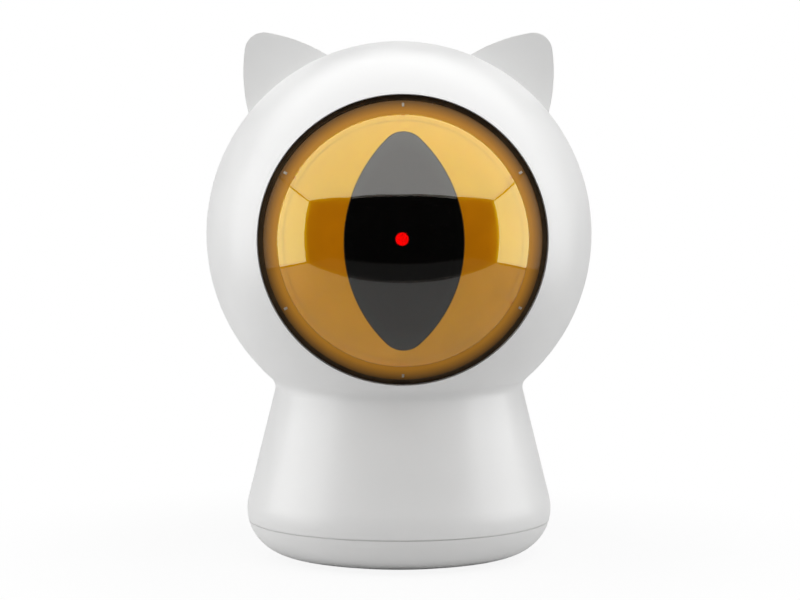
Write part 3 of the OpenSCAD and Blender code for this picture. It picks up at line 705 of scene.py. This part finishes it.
def skin(rings: Sequence[Sequence[Vector]], smooth: Callable[[int, int], bool]) -> Mesh:
    """Joins closed rings of points into one closed band.

    Args:
        rings: The points of each ring, in order; the last ring joins the first.
        smooth: Whether the face that follows a ring and a point of it shades smoothly.

    Returns:
        The mesh.
    """
    bm = bmesh.new()
    loops = [[bm.verts.new(point) for point in ring] for ring in rings]
    for k, loop in enumerate(loops):
        after = loops[(k + 1) % len(loops)]
        for i in range(len(loop)):
            n = (i + 1) % len(loop)
            face = bm.faces.new((loop[i], loop[n], after[n], after[i]))
            face.smooth = smooth(k, i)
    return bm


def bead(
    line: Sequence[Vector], radius: float, across: Point = (0.0, 1.0, 0.0), sides: int = 8
) -> Mesh:
    """Makes a closed round bead along a line.

    Args:
        line: The points of its middle, in order.
        radius: Its radius, in metres.
        across: A direction that the line never runs in.
        sides: How many sides its section has.

    Returns:
        The mesh.
    """
    rings: List[List[Vector]] = []
    for i, point in enumerate(line):
        ahead = (line[(i + 1) % len(line)] - line[i - 1]).normalized()
        out = ahead.cross(Vector(across)).normalized()
        up = out.cross(ahead).normalized()
        section = (math.cos(t) * out + math.sin(t) * up for t in circle(sides))
        rings.append([point + radius * spoke for spoke in section])
    return skin(rings, lambda ring, spot: True)


class SubAssembly(ABC):
    """A group of solids that belong together."""

    finishes: Dict[str, Finishes]

    def dress(self, frame: Frame) -> None:
        """Gives each solid its finish.

        Args:
            frame: The loaded frame.
        """
        for node, finish in self.finishes.items():
            frame["nodes"][node].material_slots[0].material = finish.material()
            LOG.info("dressed %s in %s", node, finish.value.name)

    def build(self) -> None:
        """Builds the pieces that are finer than the solids, where there are any."""

    def fit(self, name: str, bm: Mesh, finish: Finishes, slot: str) -> None:
        """Makes a piece of a mesh and fixes it to the housing.

        Args:
            name: The piece's name.
            bm: The mesh, which is freed.
            finish: What it is finished in.
            slot: The material slot it belongs to. Not used.
        """
        bmesh.ops.recalc_face_normals(bm, faces=bm.faces)
        mesh = bpy.data.meshes.new(name)
        bm.to_mesh(mesh)
        bm.free()
        mesh.materials.append(finish.material())
        piece = bpy.data.objects.new(name, mesh)
        bpy.context.scene.collection.objects.link(piece)
        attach(piece, "housing")
        LOG.info("built %s with %d faces", piece.name, len(piece.data.polygons))


@dataclass
class Housing(SubAssembly):
    """The two shell halves, their screws, and the twist-off base with its foot."""

    seam_radius: float = 0.03603
    seam_height: float = 0.0087
    seam_bead: float = 0.00009
    seam_steps: int = 360
    finishes: Dict[str, Finishes] = field(
        default_factory=lambda: {
            "front_shell": Finishes.SHELL,
            "rear_shell": Finishes.SHELL,
            "base_cover": Finishes.SHELL,
            "foot_ring": Finishes.FOOT,
            "shell_screws": Finishes.STEEL,
        }
    )

    def build(self) -> None:
        """Builds the rounded lip of the shells that shows in the seam of the base."""
        r, z = self.seam_radius, self.seam_height
        line = [Vector((r * math.cos(t), r * math.sin(t), z)) for t in circle(self.seam_steps)]
        lip = bead(line, self.seam_bead, across=(0.0, 0.0, 1.0))
        self.fit("seam_lip", lip, Finishes.SHELL, "shell_white")


@dataclass
class Eye(SubAssembly):
    """The amber dome, the iris behind it and the slit window."""

    dome_ball: float = 0.04289
    iris_ball: float = 0.0411
    rim_inner: float = 0.0272
    rim_outer: float = 0.0292
    rim_rise: float = 0.00002
    rim_depth: float = -0.0296
    slit_width: float = 0.0269
    slit_height: float = 0.0525
    slit_tip: float = 0.0052
    side_steps: int = 160
    tip_steps: int = 40
    border_inner: float = 0.86
    border_rise: float = 0.000015
    border_sunk: float = -0.00006
    border_floor: float = -0.00012
    border_steps: int = 8
    border_slope_steps: int = 2
    edge_radius: float = 0.00013
    clip_count: int = 6
    clip_radius: float = 0.0308
    clip_size: Point = (0.0006, 0.0013, 0.0004)
    clip_rise: float = 0.00006
    clip_top: float = 0.8
    clip_bevel: float = 0.25
    head_ball: float = 0.046
    lip_inner: float = 0.03315
    lip_outer: float = 0.034
    lip_floor: float = -0.0306
    crest_steps: int = 6
    turn_steps: int = 240
    flat_sides: int = 3
    finishes: Dict[str, Finishes] = field(
        default_factory=lambda: {
            "eye_dome": Finishes.DOME,
            "eye_gasket": Finishes.RUBBER,
            "iris_cup": Finishes.IRIS,
            "iris_carrier": Finishes.RING,
            "pupil_window": Finishes.WINDOW,
        }
    )

    def build(self) -> None:
        """Builds the slit's edge and border, the iris's rim, the clips and the opening's lip."""
        edge = bead(self.slit_line(), self.edge_radius)
        self.fit("slit_edge", edge, Finishes.EDGE, "amber_reflector")
        self.fit("slit_border", self.border(), Finishes.BORDER, "smoked_window")
        self.fit("iris_rim", self.iris_rim(), Finishes.IRIS, "amber_reflector")
        # the clips' paler finish is a painted glint
        self.fit("dome_clips", self.clips(), Finishes.CLIP, "amber_reflector")
        self.fit("eye_lip", self.lip(), Finishes.SHELL, "shell_white")

    def slit_line(self, scale: float = 1.0, rise: float = 0.0) -> List[Vector]:
        """Gives the slit's outline, with the border round its window, on the iris ball.

        Args:
            scale: How large it is drawn.
            rise: How far it lies above the ball, in metres.

        Returns:
            The points, in order round the slit.
        """
        w, h, tip = self.slit_width, self.slit_height, self.slit_tip
        side = (h * h + w * w) / (4 * w)
        off = side - w / 2
        tip_z = math.sqrt((side - tip) ** 2 - off * off)
        turn = math.asin(tip_z / (side - tip))
        flank = spaced(-turn, turn, self.side_steps)
        top = spaced(turn, math.pi - turn, self.tip_steps)
        half = [(side * math.cos(a) - off, side * math.sin(a)) for a in flank]
        half += [(tip * math.cos(a), tip_z + tip * math.sin(a)) for a in top[1:-1]]
        outline = half + [(-x, -z) for x, z in half]
        return [self.on_ball(x * scale, z * scale, rise) for x, z in outline]

    def on_ball(self, x: float, z: float, rise: float) -> Vector:
        """Lifts a point of the front view onto the iris ball.

        Args:
            x: How far it is to the right of the eye's middle.
            z: How far it is above it.
            rise: How far it lies above the ball, in metres.

        Returns:
            The point on the ball's front.
        """
        forward = math.sqrt((self.iris_ball + rise) ** 2 - x * x - z * z)
        return Vector(EYE_BALL) + Vector((x, -forward, z))

    def border(self) -> Mesh:
        """Makes the thin border that rounds the slit's tips and laps over the window's edge.

        Returns:
            The mesh, whose inner edge slopes down under the window's face.
        """
        scales = spaced(self.border_inner, 1.0, self.border_steps)
        sunk = self.border_sunk - self.border_rise
        shares = [max(0.0, 1 - k / self.border_slope_steps) for k in range(len(scales))]
        lines = [
            self.slit_line(scale, self.border_rise + sunk * share)
            for scale, share in zip(scales, shares)
        ]
        lines += [self.slit_line(scale, self.border_floor) for scale in reversed(scales)]
        return skin(lines, lambda ring, spot: (ring + 1) % len(scales) != 0)

    def iris_rim(self) -> Mesh:
        """Makes the iris's rolled rim, which lies on the iris ball.

        Returns:
            The mesh.
        """
        ball, middle = self.iris_ball + self.rim_rise, EYE_BALL[1]
        radii = spaced(self.rim_outer, self.rim_inner, self.crest_steps)
        front = [(r, middle - math.sqrt(ball**2 - r * r)) for r in radii]
        return self.revolve(front, self.rim_depth + middle)

    def lip(self) -> Mesh:
        """Makes the opening's crest, which carries the head's ball on to the gasket.

        Returns:
            The mesh.
        """
        radii = spaced(self.lip_outer, self.lip_inner, self.crest_steps)
        crest = [(r, -math.sqrt(self.head_ball**2 - r * r)) for r in radii]
        return self.revolve(crest, self.lip_floor)

    def revolve(self, front: Sequence[Span], back: float) -> Mesh:
        """Turns a section round the eye's axis.

        Args:
            front: The points of its curved front, in radius and distance back.
            back: How far back its flat floor lies.

        Returns:
            The mesh.
        """
        section = [*front, (front[-1][0], back), (front[0][0], back)]
        height, curved = EYE_BALL[2], len(section) - self.flat_sides
        rings = [
            [Vector((r * math.cos(t), y, height + r * math.sin(t))) for r, y in section]
            for t in circle(self.turn_steps)
        ]
        return skin(rings, lambda ring, spot: spot < curved)

    def clips(self) -> Mesh:
        """Makes the tips of the clips, from the top round, in a paler colour that is a painted
        glint.

        Returns:
            The mesh.
        """
        bm = bmesh.new()
        for turn in circle(self.clip_count):
            self.clip(bm, math.pi / 2 + turn)
        return bm

    def clip(self, bm: Mesh, angle: float) -> None:
        """Adds the tip of one clip, let into the dome near its rim.

        Args:
            bm: The mesh that takes it.
            angle: Where it stands round the eye, from the right.
        """
        wide, long, thick = self.clip_size
        lean = math.asin(self.clip_radius / self.dome_ball)
        spoke = Vector((math.cos(angle), 0.0, math.sin(angle)))
        front = Vector((0.0, -1.0, 0.0))
        normal = math.sin(lean) * spoke + math.cos(lean) * front
        down = math.cos(lean) * spoke - math.sin(lean) * front
        along = normal.cross(down)
        top = Vector(EYE_BALL) + (self.dome_ball + self.clip_rise) * normal
        signs = ((-1, -1), (1, -1), (1, 1), (-1, 1))
        sides = [a * wide * along + b * long * down for a, b in signs]
        rings: List[List[bmesh.types.BMVert]] = []
        for sunk, share in ((0.0, self.clip_top), (self.clip_bevel * thick, 1.0), (thick, 1.0)):
            spots = (top - sunk * normal + share * side / 2 for side in sides)
            rings.append([bm.verts.new(spot) for spot in spots])
        for low, high in zip(rings, rings[1:]):
            for k in range(len(sides)):
                n = (k + 1) % len(sides)
                bm.faces.new((low[k], low[n], high[n], high[k]))
        bm.faces.new(rings[0])
        bm.faces.new(rings[-1])


@dataclass
class PanTiltDrive(SubAssembly):
    """The deck, the two motors and the yoke that turn the laser."""

    finishes: Dict[str, Finishes] = field(
        default_factory=lambda: {
            "drive_deck": Finishes.NATURAL,
            "deck_screws": Finishes.STEEL,
            "pan_bush": Finishes.BLACK,
            "pan_motor": Finishes.CAN,
            "pan_motor_screws": Finishes.STEEL,
            "pan_motor_shaft": Finishes.STEEL,
            "pan_pinion": Finishes.TURNED,
            "pan_yoke": Finishes.BLACK,
            "pan_gear": Finishes.NATURAL,
            "pan_washer": Finishes.PLATED,
            "pan_screw": Finishes.STEEL,
            "tilt_bushes": Finishes.TURNED,
            "tilt_motor": Finishes.CAN,
            "tilt_motor_screws": Finishes.STEEL,
            "tilt_motor_shaft": Finishes.STEEL,
            "tilt_pinion": Finishes.TURNED,
        }
    )


@dataclass
class LaserUnit(SubAssembly):
    """The laser in its tilting cradle."""

    finishes: Dict[str, Finishes] = field(
        default_factory=lambda: {
            "laser_cradle": Finishes.NATURAL,
            "cradle_cap": Finishes.NATURAL,
            "cradle_screws": Finishes.STEEL,
            "tilt_gear": Finishes.NATURAL,
            "laser_barrel": Finishes.TURNED,
            "laser_nose": Finishes.BLACK,
            "laser_lens": Finishes.LENS,
            "laser_driver": Finishes.BOARD,
        }
    )


@dataclass
class ControlBoard(SubAssembly):
    """The board at the back, with its socket and button."""

    finishes: Dict[str, Finishes] = field(
        default_factory=lambda: {
            "main_board": Finishes.BOARD,
            "board_screws": Finishes.STEEL,
            "wifi_module": Finishes.CAN,
            "driver_chips": Finishes.BLACK,
            "lead_sockets": Finishes.NATURAL,
            "tact_switch": Finishes.BLACK,
            "switch_plunger": Finishes.PLATED,
            "power_button": Finishes.GREY,
            "usb_socket": Finishes.PLATED,
            "usb_tongue": Finishes.BLACK,
        }
    )


@dataclass
class BatteryPack(SubAssembly):
    """The three cells in their tray above the base."""

    finishes: Dict[str, Finishes] = field(
        default_factory=lambda: {
            "battery_tray": Finishes.TRAY,
            "tray_screws": Finishes.STEEL,
            "battery_cells": Finishes.CELL,
            "contact_plates": Finishes.PLATED,
            "contact_springs": Finishes.PLATED,
        }
    )


@dataclass
class Lamp:
    """One soft rectangular lamp."""

    name: str
    place: Point
    size: Span
    level: float
    aim: Point = (0.0, 0.0, 0.06)

    def light(self) -> None:
        """Puts the lamp in the scene, as bright as a sheet of that level."""
        lamp = bpy.data.lights.new(self.name, "AREA")
        lamp.shape = "RECTANGLE"
        lamp.size, lamp.size_y = self.size
        lamp.energy = self.level * math.pi * self.size[0] * self.size[1]
        holder = bpy.data.objects.new(self.name, lamp)
        holder.location = self.place
        ahead = Vector(self.aim) - Vector(self.place)
        holder.rotation_euler = ahead.to_track_quat("-Z", "Y").to_euler()
        holder.visible_glossy = False
        holder.visible_camera = False
        bpy.context.scene.collection.objects.link(holder)
        LOG.info("lit %s", self.name)


@dataclass
class Card:
    """One bright card that the gloss reflects."""

    name: str
    corners: Sequence[Point]
    level: float

    def hang(self) -> None:
        """Hangs the card round the object, seen by reflections alone."""
        material = bpy.data.materials.new(self.name)
        material.use_nodes = True
        bench = Bench(material.node_tree)
        glow = bench.add("Emission", {"Color": WHITE, "Strength": self.level})
        bench.finish(glow.outputs["Emission"])
        mesh = bpy.data.meshes.new(self.name)
        mesh.from_pydata(self.corners, [], [tuple(range(len(self.corners)))])
        mesh.materials.append(material)
        card = bpy.data.objects.new(self.name, mesh)
        card.visible_camera = False
        card.visible_diffuse = False
        card.visible_transmission = False
        card.visible_volume_scatter = False
        card.visible_shadow = False
        bpy.context.scene.collection.objects.link(card)
        LOG.info("hung %s", self.name)


@dataclass
class LightTent:
    """A plain light tent: pale floor, lit roof and sides, dark where the camera stands."""

    half_width: float = 0.28
    back: float = 0.4
    card_back: float = 0.1
    floor_front: float = -0.175
    table_front: float = -0.305
    side_front: float = -0.169
    roof_at_side: float = 0.189
    roof_slope: float = 0.169
    roof_bow: Span = (-0.211, -0.222)
    gap: float = 0.005
    roof_level: float = 3.2
    side_level: float = 3.5
    table_level: float = 0.1
    floor_shade: float = 0.8
    fade_span: Span = (0.045, 0.13)
    near_white: float = 0.9
    fill_span: Span = (-0.8, -0.1)
    fill_levels: Span = (0.115, 0.49)
    mirror_span: Span = (-0.3, 0.4)
    mirror_levels: Span = (0.012, 0.4)
    lamps: Tuple[Lamp, ...] = (
        Lamp("roof_lamp", (-0.02, -0.12, 0.23), (0.5, 0.2), 0.6, (-0.02, -0.12, 0.0)),
        Lamp("back_lamp", (-0.02, 0.08, 0.23), (0.5, 0.2), 0.1, (-0.02, 0.08, 0.0)),
        Lamp("front_lamp", (0.14, -0.35, 0.55), (0.4, 0.3), 2.25),
        Lamp("left_lamp", (-0.285, -0.03, 0.08), (0.36, 0.14), 1.18, (0.0, -0.03, 0.08)),
        Lamp("left_upper_lamp", (-0.285, -0.03, 0.21), (0.36, 0.12), 1.45, (0.0, -0.03, 0.1)),
        Lamp("right_lamp", (0.285, -0.03, 0.08), (0.36, 0.14), 0.36, (0.0, -0.03, 0.08)),
        Lamp("right_upper_lamp", (0.285, -0.03, 0.21), (0.36, 0.12), 1.6, (0.0, -0.03, 0.1)),
    )

    def floor_finish(self) -> bpy.types.Material:
        """Makes the floor's white, which keeps the shadow and fades into the surround.

        Returns:
            The material.
        """
        material = bpy.data.materials.new("pale_floor")
        material.use_nodes = True
        bench = Bench(material.node_tree)
        away = bench.vectors("LENGTH", bench.place()).outputs["Value"]
        fade = bench.ramp(away, self.fade_span, (self.near_white, 1.0))
        share = bench.sums("MULTIPLY", fade, bench.add("LightPath").outputs["Is Camera Ray"])
        paper = bench.add("BsdfDiffuse", {"Color": (self.floor_shade,) * 3}).outputs["BSDF"]
        white = bench.add("Emission", {"Color": WHITE, "Strength": 1.0}).outputs["Emission"]
        under = bench.add("NewGeometry").outputs["Backfacing"]
        clear = bench.add("BsdfTransparent").outputs["BSDF"]
        bench.finish(bench.mix(under, bench.mix(share, paper, white), clear))
        return material

    def floor(self) -> None:
        """Lays the floor."""
        x, front, back = self.half_width, self.floor_front, self.back
        corner_points = [(-x, front, 0), (x, front, 0), (x, back, 0), (-x, back, 0)]
        mesh = bpy.data.meshes.new("floor")
        mesh.from_pydata(corner_points, [], [(0, 1, 2, 3)])
        mesh.materials.append(self.floor_finish())
        floor = bpy.data.objects.new("floor", mesh)
        bpy.context.scene.collection.objects.link(floor)

    def roof_height(self, y: float) -> float:
        """Gives the height of the sloping roof that far back."""
        return self.roof_at_side + self.roof_slope * (y - self.side_front)

    def side(self, x: float) -> List[Point]:
        """Gives the corners of one side card.

        Args:
            x: How far to the right it hangs.

        Returns:
            The corners, in order.
        """
        y, back, low = self.side_front, self.card_back, self.gap
        far, top = self.roof_height(back) - self.gap, self.roof_at_side - self.gap
        return [(x, y, low), (x, back, low), (x, back, far), (x, y, top)]

    def cards(self) -> List[Card]:
        """Gives the bowed roof, the two sides and the strip of table in front of the floor.

        Returns:
            The cards.
        """
        x, y, back = self.half_width, self.side_front, self.card_back
        near, middle = self.roof_bow
        bow = [(-x, y), (-x / 2, near), (0.0, middle), (x / 2, near), (x, y)]
        plan = [(-x, back), *bow, (x, back)]
        roof = [(px, py, self.roof_height(py)) for px, py in plan]
        front, floor = self.table_front, self.floor_front
        table = [(-x, front, 0.0), (x, front, 0.0), (x, floor, 0.0), (-x, floor, 0.0)]
        return [
            Card("roof_card", roof, self.roof_level),
            Card("left_card", self.side(-x), self.side_level),
            Card("right_card", self.side(x), self.side_level),
            Card("table_card", table, self.table_level),
        ]

    def surround(self) -> None:
        """Makes the surround: white to the camera, dark ahead to gloss, a soft fill otherwise."""
        world = bpy.data.worlds.new("surround")
        world.use_nodes = True
        bench = Bench(world.node_tree)
        path = bench.add("LightPath").outputs
        around = bench.add("TexCoord").outputs["Generated"]
        ahead = bench.add("SeparateXYZ", {0: around}).outputs["Y"]
        fill, mirrored, white = (
            bench.add("Background", {"Color": WHITE, "Strength": level}).outputs["Background"]
            for level in (
                bench.ramp(ahead, self.fill_span, self.fill_levels),
                bench.ramp(ahead, self.mirror_span, self.mirror_levels),
                1.0,
            )
        )
        lit = bench.mix(path["Is Glossy Ray"], fill, mirrored)
        bench.finish(bench.mix(path["Is Camera Ray"], lit, white), "OutputWorld")
        bpy.context.scene.world = world

    def set_up(self) -> None:
        """Sets the whole tent up."""
        self.floor()
        for card in self.cards():
            card.hang()
        for lamp in self.lamps:
            lamp.light()
        self.surround()


@dataclass
class Camera:
    """The camera at the picture's viewing angle."""

    place: Point = (-0.01777, -0.63076, 0.10563)
    focal_px: float = 2637.0
    frame_width_px: int = 800
    sensor: float = 36.0
    near: float = 0.01
    pitch: float = 4.03
    yaw: float = 1.636

    def set_up(self) -> None:
        """Puts the camera in the scene."""
        data = bpy.data.cameras.new("camera")
        data.sensor_width = self.sensor
        data.lens = self.focal_px / self.frame_width_px * self.sensor
        data.clip_start = self.near
        camera = bpy.data.objects.new("camera", data)
        camera.location = self.place
        camera.rotation_euler = (math.radians(90 - self.pitch), 0.0, -math.radians(self.yaw))
        bpy.context.scene.collection.objects.link(camera)
        bpy.context.scene.camera = camera


def corners(box: Tuple[Vector, Vector]) -> List[List[float]]:
    """Gives a box's lowest and highest corners as plain lists."""
    return [list(box[0]), list(box[1])]


def clear_scene() -> None:
    """Empties Blender's start-up scene."""
    for thing in list(bpy.data.objects):
        bpy.data.objects.remove(thing, do_unlink=True)


def main() -> None:
    """Loads the frame, builds and dresses each sub-assembly, and sets up tent and camera."""
    logging.basicConfig(level=logging.INFO, format="%(name)s: %(message)s")
    clear_scene()
    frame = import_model()
    bpy.context.view_layer.update()
    bpy.context.scene.view_settings.view_transform = "Standard"
    Camera().set_up()
    groups = (Housing(), Eye(), PanTiltDrive(), LaserUnit(), ControlBoard(), BatteryPack())
    for group in groups:
        group.dress(frame)
        group.build()
    LightTent().set_up()
    bpy.context.view_layer.update()
    LOG.info("dressed %d solids", sum(len(group.finishes) for group in groups))


if __name__ == "__main__":
    main()
